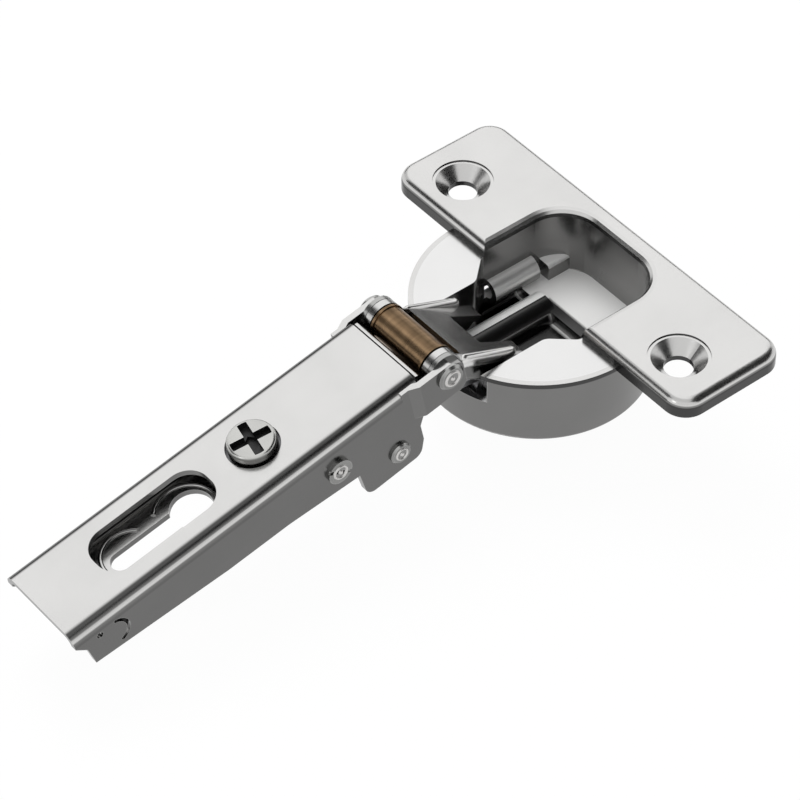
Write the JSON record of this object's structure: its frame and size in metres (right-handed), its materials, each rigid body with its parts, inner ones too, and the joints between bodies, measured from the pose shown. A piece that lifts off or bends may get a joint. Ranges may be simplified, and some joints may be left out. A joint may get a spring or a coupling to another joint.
{
  "type": "concealed cup hinge",
  "caption": "Concealed cabinet door hinge: pressed cup with screw flange, folded four-bar links and a long channel arm with an adjusting screw, stored open.",
  "frame": {"origin": "on the axis of the cup, in the plane of the door face", "axes": "+Z out of the door along the cup axis, +X from the arm towards the screw flange, +Y along the hinge pins"},
  "size_m": [0.1071, 0.065, 0.02],
  "materials": {
    "nickel_plate": "bright satin nickel plating on pressed steel",
    "dark_steel": "burnished spring steel",
    "rivet_steel": "plated rivet ends, slightly dull",
    "screw_zinc": "bright zinc plating",
    "copper_coat": "smooth copper coating"
  },
  "bodies": {
    "arm": {"arm_cover": "nickel_plate", "front_arm_pin": "rivet_steel", "front_washer_left": "nickel_plate", "front_washer_right": "nickel_plate", "spring_sleeve": "nickel_plate", "closing_spring": "copper_coat", "hook_pin": "rivet_steel", "hook_spacer_left": "nickel_plate", "hook_spacer_right": "nickel_plate", "carrier_pivot_left": "rivet_steel", "carrier_pivot_right": "rivet_steel", "screw_seat_ring": "nickel_plate"},
    "outer_link": {"outer_link": "nickel_plate"},
    "cup": {"hinge_cup": "nickel_plate", "outer_link_cup_pin_left": "rivet_steel", "outer_link_cup_pin_right": "rivet_steel", "inner_link_cup_pin": "rivet_steel"},
    "inner_link": {"inner_link": "dark_steel"},
    "screw": {"adjusting_screw": "screw_zinc"},
    "carrier": {"arm_carrier": "nickel_plate", "carrier_nut": "nickel_plate"}
  },
  "joints": [
    {"name": "outer_link_turn", "type": "hinge", "parent": "arm", "child": "outer_link", "pos_m": [-0.0234, 0, 0.00555], "axis": [0, 1, 0], "range_deg": [0, 39]},
    {"name": "cup_fold", "type": "hinge", "parent": "outer_link", "child": "cup", "pos_m": [-0.009, 0, -0.0033], "axis": [0, -1, 0], "range_deg": [0, 140.2]},
    {"name": "inner_link_turn", "type": "hinge", "parent": "cup", "child": "inner_link", "pos_m": [-0.013, 0, -0.0052], "axis": [0, 1, 0], "range_deg": [0, 129]},
    {"name": "screw_turn", "type": "hinge", "parent": "arm", "child": "screw", "pos_m": [-0.05144, 0, 0.00292], "axis": [-0.1959, 0, 0.9806], "range_deg": [-90, 90]},
    {"name": "carrier_tilt", "type": "hinge", "parent": "arm", "child": "carrier", "pos_m": [-0.04275, 0, -0.00126], "axis": [0, 1, 0], "range_deg": [-1.5, 1.5]}
  ],
  "couplings": [
    {"joint": "outer_link_turn", "follows": "cup_fold", "ratio": 0.27771},
    {"joint": "inner_link_turn", "follows": "cup_fold", "ratio": 0.91817},
    {"joint": "carrier_tilt", "follows": "screw_turn", "ratio": 0.016667}
  ]
}
